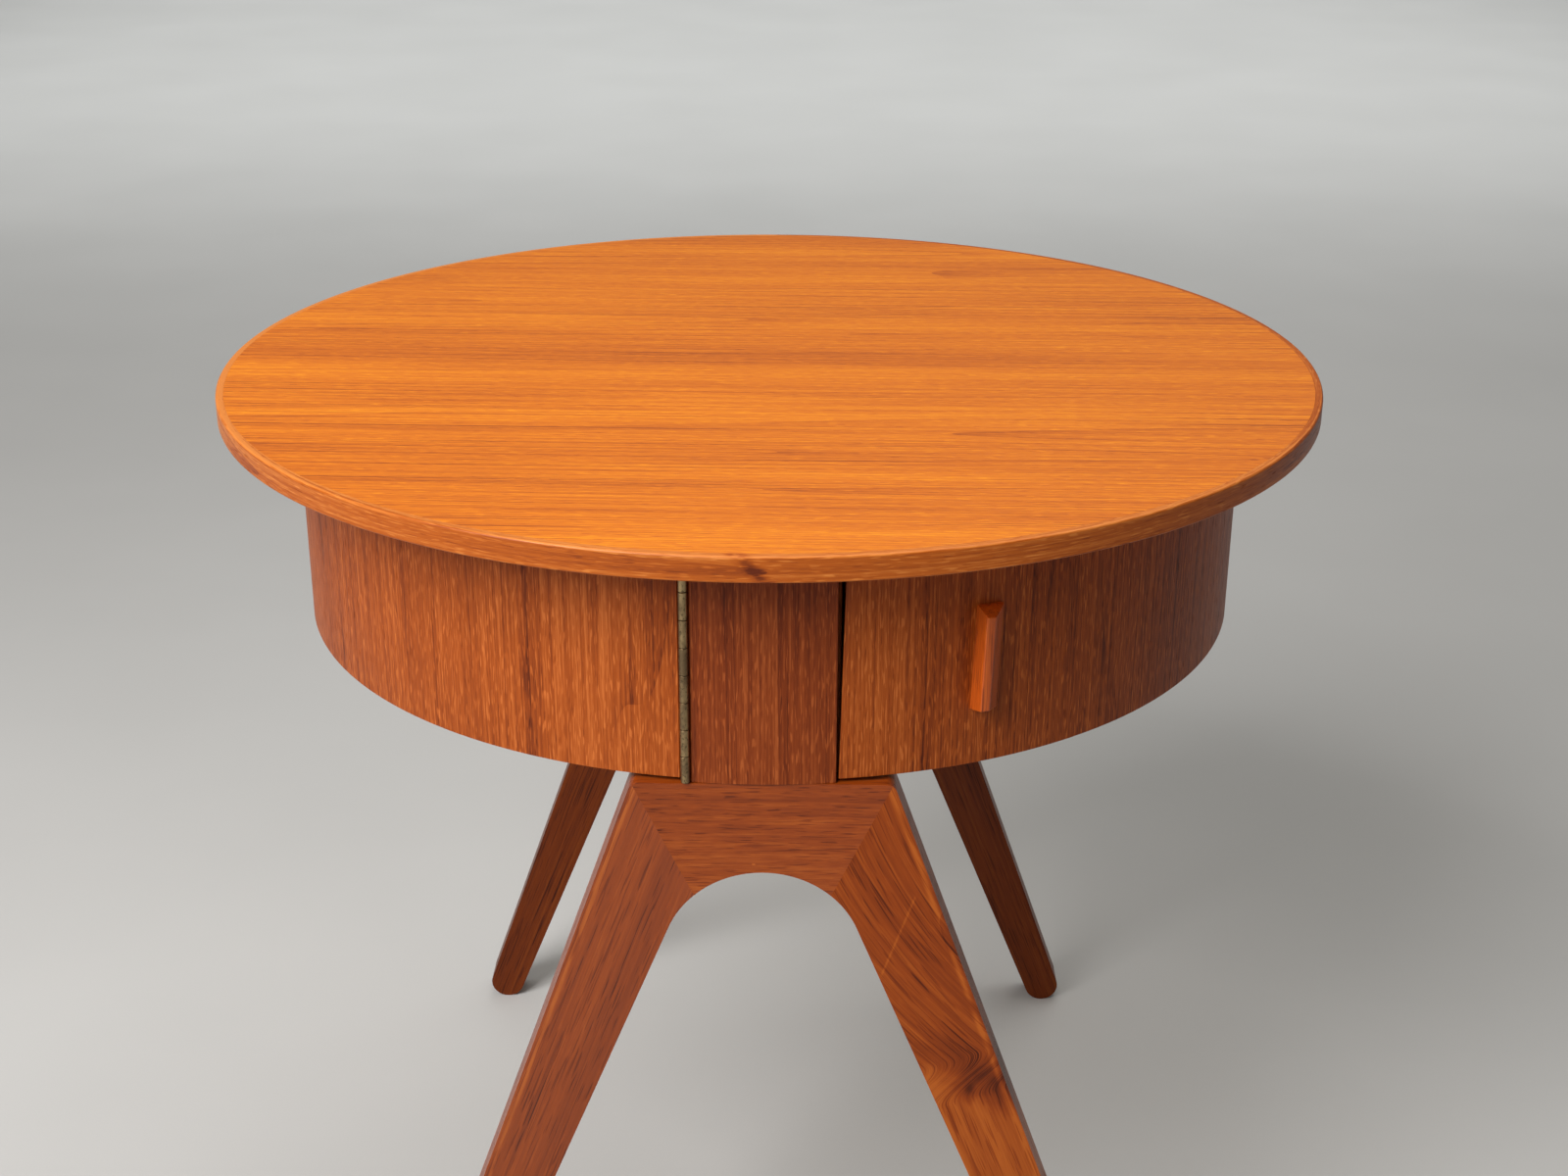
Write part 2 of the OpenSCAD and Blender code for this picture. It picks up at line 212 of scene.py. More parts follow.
def teak(name, grain_of, tones, extra=None, veins=20, vein_gain=0.3, band_gain=0.7, line_gain=0.8,
         streak_gain=0.9, fleck_gain=0.2, fibre_gain=0.3, swirl=0.01, gloss=0.38, coat=0.1,
         shine=0.32, pores_a_metre=120, pore_gain=0.16, pore_depth=0.05 * MM):
    """Teak: broad bands, growth lines, fine streaks, pores and pale flecks along the grain.

    grain_of(finish) gives the grain space, whose Z runs along the grain. tones are the darkest, dark,
    middle and light colours. extra(finish, grain, tone) may change the tone, which picks among them.
    """
    finish = Finish(name, Coat_Weight=coat, Coat_Roughness=0.3, Specular_IOR_Level=shine)
    grain = grain_of(finish)
    x, y, z = finish.parts(grain)
    wander = finish.noise(grain, 7, 1.3 + swirl * 60, detail=1) - 0.5
    bent = finish.join(x + wander * swirl, y, z)
    bands = finish.noise(bent, 30, 0.9, detail=2) - 0.5
    lines = finish.noise(bent, 260, 2.4, detail=3, roughness=0.65) - 0.5
    streaks = finish.noise(bent, 800, 9, detail=3, roughness=0.65) - 0.5
    fibres = finish.noise(grain, 3200, 85, detail=1)
    growth = finish.noise(bent, 17, 0.55, detail=0) * veins
    vein = growth.math("FRACT") ** 6 * finish.noise(bent, 60, 2.5, detail=1).step(0.38, 0.6)
    tone = MIDDLE_TONE + bands * band_gain + lines * line_gain
    tone = tone + streaks * streak_gain - vein * vein_gain
    if extra:
        tone = extra(finish, bent, tone)
    ragged = finish.join(x, y, z + finish.noise(grain, 250, 3, detail=0) * 0.03)
    pores = finish.noise(ragged, 1500, pores_a_metre, detail=0).step(0.62, 0.72)
    flecks = finish.noise(ragged, 1400, 130, detail=0).step(0.58, 0.7)
    tone = tone + flecks * fleck_gain - pores * pore_gain + (fibres - 0.5) * fibre_gain
    finish.set("Base Color", finish.ramp(tone.clamp(), list(zip(TONE_PLACES, tones))))
    finish.set("Roughness", gloss + pores * 0.18 - lines * 0.12 + (fibres - 0.5) * 0.1)
    finish.bump((fibres * 0.3 + streaks * 0.5 + (1 - pores) * 0.55).clamp(), pore_depth)
    return finish


def plain_wood(name, dark, light):
    """Unfinished pale wood with its grain along X."""
    finish = Finish(name, Specular_IOR_Level=0.3)
    grain = finish.along_x()
    bands = finish.noise(grain, 60, 1.5, detail=3) - 0.5
    fibres = finish.noise(grain, 1900, 60, detail=2)
    tone = (0.5 + bands * 1.5 + (fibres - 0.5) * 0.6).clamp()
    finish.set("Base Color", finish.ramp(tone, [(0.1, dark), (0.9, light)]))
    finish.set("Roughness", 0.55 + (fibres - 0.5) * 0.3)
    finish.bump(fibres, 0.05 * MM)
    return finish


def banded(tone, across, share, bands):
    """Changes the tone in bands, each given by its place across the grain, its width and its gain."""
    for place, width, gain in bands:
        tone = tone + across.near(place, width) * share * gain
    return tone


TOP_BANDS = (
    (-0.235, 0.030, -0.10),
    (-0.185, 0.016, 0.20),
    (-0.130, 0.014, 0.10),
    (-0.072, 0.014, 0.22),
    (0.012, 0.035, -0.14),
    (0.065, 0.014, 0.16),
    (0.170, 0.020, 0.16),
)


def top_figure(finish, grain, tone):
    """Yellow bands, a plainer red leaf between them, and groups of fine dark lines."""
    y, _, _ = finish.parts(grain)
    y = y + (finish.noise(grain, 5, 1.5, detail=1) - 0.5) * 0.02
    tone = banded(tone, y, finish.noise(grain, 14, 3, detail=1).step(0.3, 0.6), TOP_BANDS)
    threads = finish.noise(grain, 760, 1.3, detail=1).step(0.57, 0.66)
    return tone - threads * finish.noise(grain, 16, 3, detail=1).step(0.44, 0.56) * 0.42


DRUM_STREAKS = (
    (-0.275, 0.0040, -0.50),
    (-0.252, 0.0060, -0.25),
    (-0.112, 0.0035, -0.60),
    (-0.106, 0.0120, -0.20),
    (0.075, 0.0050, -0.30),
    (0.430, 0.0040, -0.50),
    (0.620, 0.0070, -0.40),
)
# Each joint between leaves of veneer: where it starts and ends, and the change of tone across it
LEAF_JOINTS = (
    (-0.1125, -0.1115, 0.05),
    (0.034, 0.036, -0.06),
    (0.067, 0.069, -0.11),
)


def drum_figure(finish, grain, tone):
    """Dark upright streaks, stronger low down, and the joints between leaves of veneer."""
    u, _, z = finish.parts(grain)
    u = u + (finish.noise(grain, 10, 7, detail=2) - 0.5) * 0.006
    low_down = 0.45 + z.step(0.5, 0.45) * 0.55
    patchy = finish.noise(grain, 60, 16, detail=2).step(0.36, 0.6) * low_down
    tone = banded(tone, u, patchy, DRUM_STREAKS)
    for start, end, gain in LEAF_JOINTS:
        tone = tone + u.step(start, end) * gain
    return tone


EDGE_KNOT = -0.008  # its place round the top from the front


def edging_figure(finish, grain, tone):
    """A pale upper arris, partly wear and partly painted highlight, a dark slanting knot, a few nicks,
    and painted light on the left side with painted shade on the right.
    """
    v, _, u = finish.parts(grain)
    below = v - TOP_HIGH.z
    patchy = finish.noise(grain, 300, 30, detail=2).step(0.35, 0.6)
    # Patchy wear along the upper arris, made pale enough to serve as a painted highlight too.
    worn_and_highlit = below.near(-0.0004, 0.0014) * patchy
    slant = u + below * 0.9
    knot = slant.near(EDGE_KNOT, 0.007) * finish.noise(grain, 500, 160, detail=2).step(0.3, 0.55)
    nicks = finish.noise(grain, 260, 60, detail=1).step(0.72, 0.78)
    # Painted highlight: the ring's top face and its upper arris are made paler.
    upper = v.step(TOP_HIGH.z - 0.0006, TOP_HIGH.z + 0.0004)
    # Painted light and shade: the left side of the edging is made paler and the right side darker, as
    # the light falls on them.
    painted_side_light_and_shade = u.step(-0.25, -0.4) * 0.22 - u.step(0.25, 0.4) * 0.25
    return tone + upper * 0.3 + worn_and_highlit * 0.3 + painted_side_light_and_shade - knot * 0.45 - nicks * 0.3


# The line of a leg's outer arris: the first times |x|, plus the second times z, is the third
OUTER_ARRIS = 0.9421, 0.3353, 0.1983


def painted_arris_highlight(finish, grain, tone):
    """A pale, patchy line along the outer arris of a leg: a painted highlight."""
    x, _, z = finish.parts(finish.place())
    across, up, reach = OUTER_ARRIS
    inside = abs(x) * across + z * up - reach
    patchy = finish.noise(grain, 120, 30, detail=2).step(0.25, 0.55)
    return tone + inside.near(-0.0024, 0.002) * patchy * 0.4


def swept(finish):
    """Grain along the right front leg, which sweeps outwards down to the dark band."""
    x, y, z = finish.parts(finish.place((0, LEG_LEAN, 0)))
    down = z.math("MULTIPLY_ADD", -7.0, 2.52).clamp()
    sweep = down ** 2 * z.step(0.2, 0.225)
    return finish.join(x + 0.5 - sweep * 0.036, y, z)


BAND_SLOPE, BAND_HEIGHT = 0.55, 0.3294
KNOT_X, KNOT_Z = 0.1, 0.256
SCRATCH_X, SCRATCH_Z = 0.0635, 0.3435
SCRATCH_SINE, SCRATCH_COSINE = 0.33, 0.944  # of its slant from upright


def leg_figure(finish, grain, tone):
    """A sloping dark band and a small knot, pale lines above them, and a scratch."""
    x, _, z = finish.parts(finish.place())
    cloud = finish.noise(finish.place(), 45, 45, detail=3) - 0.5
    above = z + x * BAND_SLOPE + cloud * 0.025 - BAND_HEIGHT
    band = above.near(-0.002, 0.022) * (0.35 + x.step(0.07, 0.098) * 0.65)
    lines = finish.noise(grain, 330, 1.5, detail=1).step(0.6, 0.7)
    lines = lines * above.step(-0.006, 0.01) * above.step(0.15, 0.05)
    east = x - KNOT_X
    rise = z - KNOT_Z
    knot = ((east * east + rise * rise * 0.3) ** 0.5 + cloud * 0.004).step(0.0045, 0.001)
    off = (x - SCRATCH_X) * SCRATCH_COSINE - (z - SCRATCH_Z) * SCRATCH_SINE
    run = abs((x - SCRATCH_X) * SCRATCH_SINE + (z - SCRATCH_Z) * SCRATCH_COSINE)
    scratch = off.near(0, 0.0009) * run.step(0.024, 0.021)
    # The pale line along the outer arris is a painted highlight.
    tone = painted_arris_highlight(finish, grain, tone) + above.step(-0.01, -0.03) * 0.28
    return tone - band * 0.38 + lines * 0.3 - knot * 0.3 + scratch * 0.28


def crosspiece_figure(finish, grain, tone):
    """Dark streaks along the upper part, a short one below them and a pale chip."""
    x, _, z = finish.parts(finish.place())
    broken = finish.noise(grain, 120, 12, detail=2).step(0.38, 0.62)
    streaks = (z - x * 0.1).near(0.409, 0.005) + (z - x * 0.06).near(0.401, 0.002)
    mark = z.near(0.3911, 0.0012) * x.near(-0.0036, 0.012)
    chip = z.near(0.3814, 0.0007) * x.near(-0.0041, 0.0011)
    return tone - streaks * broken * 0.28 - mark * 0.45 + chip * 0.9


# --- Finishes -----------------------------------------------------------------------------------

def aged_brass():
    """Dull brass with brown tarnish, and brighter where the tarnish has been polished off."""
    finish = Finish("aged_brass_metal", Metallic=1.0)
    here = finish.place()
    tarnish = finish.noise(here, 90, 60, detail=4, roughness=0.65).step(0.36, 0.62)
    specks = finish.noise(here, 900, 700, detail=2).step(0.55, 0.68)
    lathe = finish.noise(here, 300, 5000, detail=1)
    colour = finish.mix(tarnish, (0.37, 0.26, 0.13), (0.19, 0.13, 0.07))
    finish.set("Base Color", finish.mix(specks * 0.6, colour, (0.05, 0.036, 0.022)))
    finish.set("Roughness", 0.3 + tarnish * 0.2 + specks * 0.12)
    finish.bump((lathe * 0.5 + (1 - specks) * 0.5).clamp(), 0.02 * MM)
    return finish


def plated_steel():
    """Zinc-plated steel."""
    finish = Finish("plated_steel", Metallic=1.0)
    here = finish.place()
    cloud = finish.noise(here, 200, 200, detail=3)
    stops = [(0.3, (0.42, 0.42, 0.41)), (0.7, (0.62, 0.62, 0.60))]
    finish.set("Base Color", finish.ramp(cloud, stops))
    finish.set("Roughness", 0.26 + cloud * 0.2)
    finish.bump(finish.noise(here, 4000, 300, detail=1), 0.01 * MM)
    return finish


# The darkest, dark, middle and light colour of each teak
TOP_TONES = (0.22, 0.042, 0.004), (0.46, 0.105, 0.004), (0.61, 0.160, 0.005), (0.80, 0.275, 0.007)
DRUM_TONES = (0.07, 0.010, 0.001), (0.20, 0.036, 0.004), (0.30, 0.060, 0.006), (0.46, 0.12, 0.022)
# The end panels' tones are darker than the drum's: painted shade, the shade under the top's overhang,
# which the rear panel carries as well.
PANEL_TONES_WITH_PAINTED_SHADE = (0.05, 0.008, 0.001), (0.13, 0.021, 0.003), (0.20, 0.036, 0.005), (0.32, 0.075, 0.015)
FRAME_TONES = (0.06, 0.009, 0.001), (0.17, 0.028, 0.0025), (0.245, 0.044, 0.0035), (0.38, 0.09, 0.01)
EDGE_TONES = (0.1, 0.015, 0.002), (0.26, 0.05, 0.004), (0.38, 0.085, 0.007), (0.58, 0.19, 0.035)
# The rear frame's tones are the front frame's made darker: painted shade.
REAR_PAINTED_SHADE_SHARE = 0.54
# The handle's tones are the frame's made much paler: painted light, so that the handle shows as lit.
HANDLE_PAINTED_LIGHT_SHARE = 2.1

VENEER = dict(gloss=0.44, coat=0.04, shine=0.14, band_gain=0.4, streak_gain=1.4, fleck_gain=0.36,
              swirl=0.005)
SOLID = dict(gloss=0.36, coat=0.06, band_gain=0.6, line_gain=0.7, streak_gain=0.6, fleck_gain=0.06,
             fibre_gain=0.15, pore_gain=0.3, pores_a_metre=50, veins=14, vein_gain=0.25)
DULL = dict(SOLID, shine=0.14)
SATIN = dict(SOLID, shine=0.25)
GLOSSY = dict(SOLID, shine=0.36)


def scaled(tones, share):
    return [[part * share for part in tone] for tone in tones]


def make_veneers():
    """The finishes of the top and the drum, by a short name."""
    def round_top(finish):
        return finish.wrapped(along_first=True)

    def round_rim(finish):
        return finish.wrapped(along_first=True, shift=0.2)

    return {
        "top": teak("teak_top_veneer", lambda f: f.along_x(radians(1.5)), TOP_TONES, top_figure,
                    veins=24, band_gain=0.6, line_gain=0.5, streak_gain=1.1),
        "edging": teak("teak_edging", round_top, EDGE_TONES, edging_figure,
                       veins=14, shine=0.18, coat=0.06),
        "drum": teak("teak_drum_veneer", lambda f: f.wrapped(), DRUM_TONES, drum_figure, **VENEER),
        "panel": teak("teak_panel_veneer_painted_shade", lambda f: f.wrapped(shift=0.4), PANEL_TONES_WITH_PAINTED_SHADE, **VENEER),
        "banding": teak("teak_edge_banding", round_rim, DRUM_TONES, **VENEER),
        "side": teak("teak_side_veneer", lambda f: f.place(), DRUM_TONES, **VENEER),
    }


def make_solids():
    """The finishes of the handles and the leg frames, by a short name."""
    # The rear frame gets darker tones: painted shade.
    rear_painted_shade_tones = scaled(FRAME_TONES, REAR_PAINTED_SHADE_SHARE)

    def leg(name, turn, shift, tones, extra, kind):
        return teak(name, lambda f: f.place((0, turn, 0), (shift, 0, 0)), tones, extra, **kind)

    def crosspiece(name, turn, shift, tones, extra, kind):
        return teak(name, lambda f: f.along_x(turn, (shift, 0, 0.1)), tones, extra, **kind)

    return {
        "handle": teak("teak_handle_painted_light", lambda f: f.place(shift=(0, 0, 0.4)),
                       scaled(FRAME_TONES, HANDLE_PAINTED_LIGHT_SHARE), **GLOSSY),
        "front_crosspiece": crosspiece("teak_front_crosspiece", -0.06, 0.3, FRAME_TONES,
                                       crosspiece_figure, SATIN),
        "front_left_leg": leg("teak_front_left_leg_painted_highlight", -LEG_LEAN, 0, FRAME_TONES, painted_arris_highlight, GLOSSY),
        "front_right_leg": teak("teak_front_right_leg_painted_highlight", swept, FRAME_TONES, leg_figure, swirl=0.02,
                                **DULL),
        "rear_crosspiece": crosspiece("teak_rear_crosspiece_painted_shade", 0, 0.6, rear_painted_shade_tones, None, DULL),
        "rear_left_leg": leg("teak_rear_left_leg_painted_shade", -LEG_LEAN, 0.9, rear_painted_shade_tones, None, DULL),
        "rear_right_leg": leg("teak_rear_right_leg_painted_shade", LEG_LEAN, 1.3, rear_painted_shade_tones, None, DULL),
    }


def make_finishes():
    """Every material of the table, by a short name."""
    made = {
        **make_veneers(),
        **make_solids(),
        "plywood": plain_wood("birch_plywood", (0.62, 0.42, 0.22), (0.74, 0.56, 0.34)),
        "beech": plain_wood("plain_beech", (0.50, 0.29, 0.14), (0.66, 0.43, 0.24)),
        "brass": aged_brass(),
        "steel": plated_steel(),
    }
    return {name: finish.material for name, finish in made.items()}


# --- Mesh helpers -------------------------------------------------------------------------------

def piece(name, bm, finishes, body, node, smooth=35):
    """Makes the finished object, which rides on a body and stands for a CAD node.

    Edges that turn by more than smooth, in degrees, are shaded sharp.
    """
    mesh = bpy.data.meshes.new(name)
    bmesh.ops.recalc_face_normals(bm, faces=bm.faces)
    bm.to_mesh(mesh)
    bm.free()
    made = bpy.data.objects.new(name, mesh)
    bpy.context.scene.collection.objects.link(made)
    for finish in finishes:
        mesh.materials.append(finish)
    mesh.shade_smooth()
    mesh.set_sharp_from_angle(angle=radians(smooth))
    even = made.modifiers.new("even_shading", "WEIGHTED_NORMAL")
    even.keep_sharp = True
    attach(made, body)
    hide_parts(node)


def bevel(bm, edges, width, segments=2):
    """Rounds edges. Short edges beside them may clamp the whole bevel to less than the width."""
    bmesh.ops.bevel(bm, geom=edges, affect="EDGES", offset=width, segments=segments, profile=0.5,
                    material=-1, clamp_overlap=True)


def copy_of(node):
    """A merged copy of a CAD node's mesh, with its flat faces joined up."""
    bm = bmesh.new()
    bm.from_mesh(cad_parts[node].data)
    bmesh.ops.remove_doubles(bm, verts=bm.verts, dist=0.002 * MM)
    bmesh.ops.dissolve_limit(bm, angle_limit=radians(0.4), verts=bm.verts, edges=bm.edges)
    return bm


def arrises(bm, least=12 * MM, turn=radians(40)):
    """The edges that are longer than least and turn by more than turn."""
    found = [edge for edge in bm.edges if edge.is_manifold and edge.calc_length() > least]
    return [edge for edge in found if edge.calc_face_angle(0) > turn]


def softened(node, finish, body):
    """A CAD node with its long arrises taken off."""
    bm = copy_of(node)
    bevel(bm, arrises(bm), BOARD_ARRIS)
    piece(node + "_board", bm, [finish], body, node)


def turn_half(bm):
    """Turns a front or left piece to the rear or the right."""
    bmesh.ops.rotate(bm, verts=bm.verts, cent=(0, 0, 0), matrix=Matrix.Rotation(pi, 3, "Z"))


def angle_round(point):
    """Angle round the drum from the front, positive to the right."""
    return atan2(point.x, -point.y)


def within_half_turn(angle):
    """The same angle, from -pi to pi."""
    return (angle + pi) % (2 * pi) - pi


def wrap_uv(bm, radius, facing):
    """UV map of a bent piece: the distance round it from the front of the table, then the height.

    facing is the angle round the drum of the piece's middle, so that its seam lies opposite.
    """
    layer = bm.loops.layers.uv.new("round")
    for face in bm.faces:
        middle = within_half_turn(angle_round(face.calc_center_median()) - facing)
        for loop in face.loops:
            point = loop.vert.co
            turn = middle + within_half_turn(angle_round(point) - facing - middle)
            loop[layer].uv = (facing + turn) * radius, point.z + radius - hypot(point.x, point.y)


# --- Tabletop -----------------------------------------------------------------------------------

ROUND_STEPS = 240
# The edging's outline: each corner's rounding and its segments, from the lower one outside
EDGING_ARRISES = (0.9 * MM, 2), (1.2 * MM, 4), (VENEER_SEAM, 1)


def make_top(finish):
    """The veneered panel and the solid edging round it."""
    bm = bmesh.new()
    bmesh.ops.create_circle(bm, cap_ends=True, radius=PANEL_R, segments=ROUND_STEPS)
    bmesh.ops.translate(bm, verts=bm.verts, vec=(0, 0, TOP_LOW.z))
    raised = bmesh.ops.extrude_face_region(bm, geom=bm.faces[:])["geom"]
    verts = [item for item in raised if isinstance(item, bmesh.types.BMVert)]
    bmesh.ops.translate(bm, verts=verts, vec=(0, 0, TOP_HIGH.z - TOP_LOW.z))
    upper = [edge for edge in bm.edges if all(vert.co.z > TOP_HIGH.z - MM for vert in edge.verts)]
    bevel(bm, upper, VENEER_SEAM, 1)
    piece("tabletop_panel", bm, [finish["top"]], STAND, "tabletop", smooth=50)

    bm = bmesh.new()
    outline = (PANEL_R, TOP_LOW.z), (TOP_R, TOP_LOW.z), (TOP_R, TOP_HIGH.z), (PANEL_R, TOP_HIGH.z)
    corners = [bm.verts.new((out, 0, z)) for out, z in outline]
    bm.faces.new(corners)
    for corner, (width, segments) in zip(corners[1:], EDGING_ARRISES):
        bmesh.ops.bevel(bm, geom=[corner], affect="VERTICES", offset=width, segments=segments,
                        profile=0.5, material=-1)
    bmesh.ops.delete(bm, geom=bm.faces[:], context="FACES_ONLY")
    bmesh.ops.spin(bm, geom=bm.verts[:] + bm.edges[:], cent=(0, 0, 0), axis=(0, 0, 1),
                   angle=2 * pi, steps=ROUND_STEPS, use_merge=True)
    wrap_uv(bm, TOP_R, 0)
    piece("tabletop_edging_ring", bm, [finish["edging"]], STAND, "tabletop_edging",
          smooth=50)


# --- Drum ---------------------------------------------------------------------------------------

def make_end_panel(finish, node, turned):
    """An end panel of the spine: bent outside, flat inside, with room for the hinge's barrel."""
    low, high = (Vector(corner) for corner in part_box("front_panel"))
    half = asin(high.x / DRUM_R)
    bm = bmesh.new()
    start = bm.verts.new((-high.x, -DRUM_R * cos(half), low.z))
    bmesh.ops.spin(bm, geom=[start], cent=(0, 0, 0), axis=(0, 0, 1), angle=2 * half, steps=16)
    for x in (high.x, -high.x):
        bm.verts.new((x, high.y, low.z))
    ends = sorted(bm.verts, key=lambda vert: vert.co.x + vert.co.y * 0.01)
    bm.edges.new((ends[0], ends[1]))
    bm.edges.new((ends[-2], ends[-1]))
    bmesh.ops.contextual_create(bm, geom=bm.edges[:])
    raised = bmesh.ops.extrude_face_region(bm, geom=bm.faces[:])["geom"]
    verts = [item for item in raised if isinstance(item, bmesh.types.BMVert)]
    bmesh.ops.translate(bm, verts=verts, vec=(0, 0, high.z - low.z))
    by_hinge = [edge for edge in arrises(bm, 50 * MM) if all(
        vert.co.x < -high.x + MM and vert.co.y < -DRUM_R + 4 * MM for vert in edge.verts)]
    bevel(bm, by_hinge, PANEL_HINGE_CHAMFER, 1)
    bevel(bm, arrises(bm, 0.1 * MM, radians(60)), PANEL_ARRIS)
    if turned:
        turn_half(bm)
    wrap_uv(bm, DRUM_R, pi if turned else 0)
    piece(node + "_board", bm, [finish["panel"]], STAND, node)


def make_tray_wall(finish, body, turned):
    """The bent wall of a tray, plumb at the hinge and a little out of plumb at its free edge."""
    low, high = (Vector(corner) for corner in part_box("left_tray_wall"))
    hinge_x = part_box("left_tray_side")[1][0]
    free_low, free_high = high.x, FREE_EDGE_TOP_X
    first = -asin(-hinge_x / DRUM_R)
    last = -pi - first
    bm = bmesh.new()
    inner = DRUM_R - WALL_T
    outline = (inner, low.z), (DRUM_R, low.z), (DRUM_R, high.z), (inner, high.z)
    bm.faces.new([bm.verts.new((out * sin(first), -out * cos(first), z)) for out, z in outline])
    bmesh.ops.spin(bm, geom=bm.faces[:], cent=(0, 0, 0), axis=(0, 0, 1), angle=last - first,
                   steps=110)
    for vert in bm.verts:
        point = vert.co
        out = hypot(point.x, point.y)
        share = (point.z - low.z) / (high.z - low.z)
        if abs(angle_round(point) - first) < 0.001:
            point.x = hinge_x
            point.y = -sqrt(out ** 2 - point.x ** 2)
        elif abs(angle_round(point) - last) < 0.001:
            point.x = free_low + (free_high - free_low) * share
            point.y = sqrt(out ** 2 - point.x ** 2)
    for face in bm.faces:
        face.material_index = 1 if abs(face.normal.z) > 0.7 else 0
    by_hinge = [edge for edge in arrises(bm, 50 * MM) if all(
        vert.co.x > hinge_x - 0.1 * MM and vert.co.y < -DRUM_R + 5 * MM for vert in edge.verts)]
    bevel(bm, by_hinge, WALL_HINGE_CHAMFER, 1)
    bevel(bm, arrises(bm, 0.1 * MM, radians(60)), WALL_ARRIS)
    if turned:
        turn_half(bm)
    wrap_uv(bm, DRUM_R, pi / 2 if turned else -pi / 2)
    finishes = [finish["drum"], finish["banding"]]
    piece(body + "_bent_wall", bm, finishes, body, body + "_wall")


def make_handle(finish, body, node):
    """A pull with its arrises taken off, all but those against the drum."""
    bm = copy_of(node)
    outside = [edge for edge in arrises(bm, 2.5 * MM, radians(15)) if any(
        hypot(vert.co.x, vert.co.y) > DRUM_R + 0.3 * MM for vert in edge.verts)]
    bevel(bm, outside, HANDLE_ARRIS)
    piece(node + "_pull", bm, [finish["handle"]], body, node)


def make_drum(finish):
    make_end_panel(finish, "front_panel", False)
    make_end_panel(finish, "rear_panel", True)
    for node in ("spine_left_side", "spine_right_side"):
        softened(node, finish["side"], STAND)
    for body, turned in ((LEFT, False), (RIGHT, True)):
        make_tray_wall(finish, body, turned)
        softened(body + "_side", finish["side"], body)
        name = body.split("_")[0]
        make_handle(finish, body, name + "_handle")
        for divider in ("_front_divider", "_rear_divider"):
            softened(name + divider, finish["plywood"], body)
    softened("right_long_divider", finish["plywood"], RIGHT)


# --- Hinges and catches -------------------------------------------------------------------------

def make_leaf(finish, body, node):
    """A hinge leaf with the rims of its knuckles rounded."""
    bm = copy_of(node)
    side = 1 if node.startswith("right") else -1
    centre = Vector((side * abs(HINGE.x), side * abs(HINGE.y)))
    rims = [edge for edge in arrises(bm, 0.05 * MM, radians(60)) if all(
        abs((vert.co.xy - centre).length - BARREL_R) < 0.03 * MM for vert in edge.verts)]
    bevel(bm, rims, KNUCKLE_RIM)
    piece(node + "_brass", bm, [finish["brass"]], body, node)


HEAD_AREA = 14 * MM * MM  # no other flat face of a leaf screw is as large as its head
SLOT_HALF = 0.3 * MM
SLOT_DEPTH = 0.4 * MM


def make_leaf_screws(finish, body, node):
    """Countersunk screws with a slot cut in each head."""
    bm = copy_of(node)
    heads = [face for face in bm.faces
             if abs(face.normal.x) > 0.99 and face.calc_area() > HEAD_AREA]
    slots = []
    for head in heads:
        centre = head.calc_center_median()
        across = Vector((0, 0.6, 0.8))
        sides = [head]
        for shift in (-SLOT_HALF, SLOT_HALF):
            geometry = [item for face in sides for item in (face, *face.edges, *face.verts)]
            cut = bmesh.ops.bisect_plane(bm, geom=list(dict.fromkeys(geometry)), plane_no=across,
                                         plane_co=centre + across * shift)
            sides = [item for item in cut["geom"] if isinstance(item, bmesh.types.BMFace)]
        slots.append(min(sides, key=lambda face: (face.calc_center_median() - centre).length))
    bmesh.ops.inset_individual(bm, faces=slots, thickness=0.02 * MM, depth=-SLOT_DEPTH)
    piece(node + "_slotted", bm, [finish["brass"]], body, node)


def make_rimmed(finish, body, node):
    """A magnet or its plate with the rims rounded."""
    bm = copy_of(node)
    bevel(bm, arrises(bm, 0.05 * MM, radians(60)), DISC_RIM)
    piece(node + "_disc", bm, [finish["steel"]], body, node)


def make_fittings(finish):
    for side, body in (("left", LEFT), ("right", RIGHT)):
        make_leaf(finish, STAND, side + "_fixed_leaf")
        make_leaf(finish, body, side + "_tray_leaf")
        make_leaf_screws(finish, STAND, side + "_fixed_leaf_screws")
        make_leaf_screws(finish, body, side + "_tray_leaf_screws")
        make_rimmed(finish, STAND, side + "_catch_magnet")
        make_rimmed(finish, body, side + "_catch_plate")


# --- Leg frames ---------------------------------------------------------------------------------

MITRE_LEAST_AREA = 100 * MM * MM


def make_frame_piece(finish, node):
    """A leg or a crosspiece with its arrises taken off, all but those along a mitre."""
    bm = copy_of(node)

    def flat(face):
        return abs(face.normal.y) > 0.99

    def mitre(face):
        return face.calc_area() > MITRE_LEAST_AREA and 0.40 < abs(face.normal.z) < 0.46

    rounded = [edge for edge in bm.edges if edge.is_manifold
               and sum(flat(face) for face in edge.link_faces) == 1
               and not any(mitre(face) for face in edge.link_faces)]
    bevel(bm, rounded, FRAME_ARRIS, 4)
    piece(node + "_teak", bm, [finish], STAND, node, smooth=40)


def make_frames(finish):
    for end in ("front", "rear"):
        for part in ("_left_leg", "_right_leg", "_crosspiece"):
            make_frame_piece(finish[end + part], end + part)


# --- Pieces that keep their CAD shape ------------------------------------------------------------

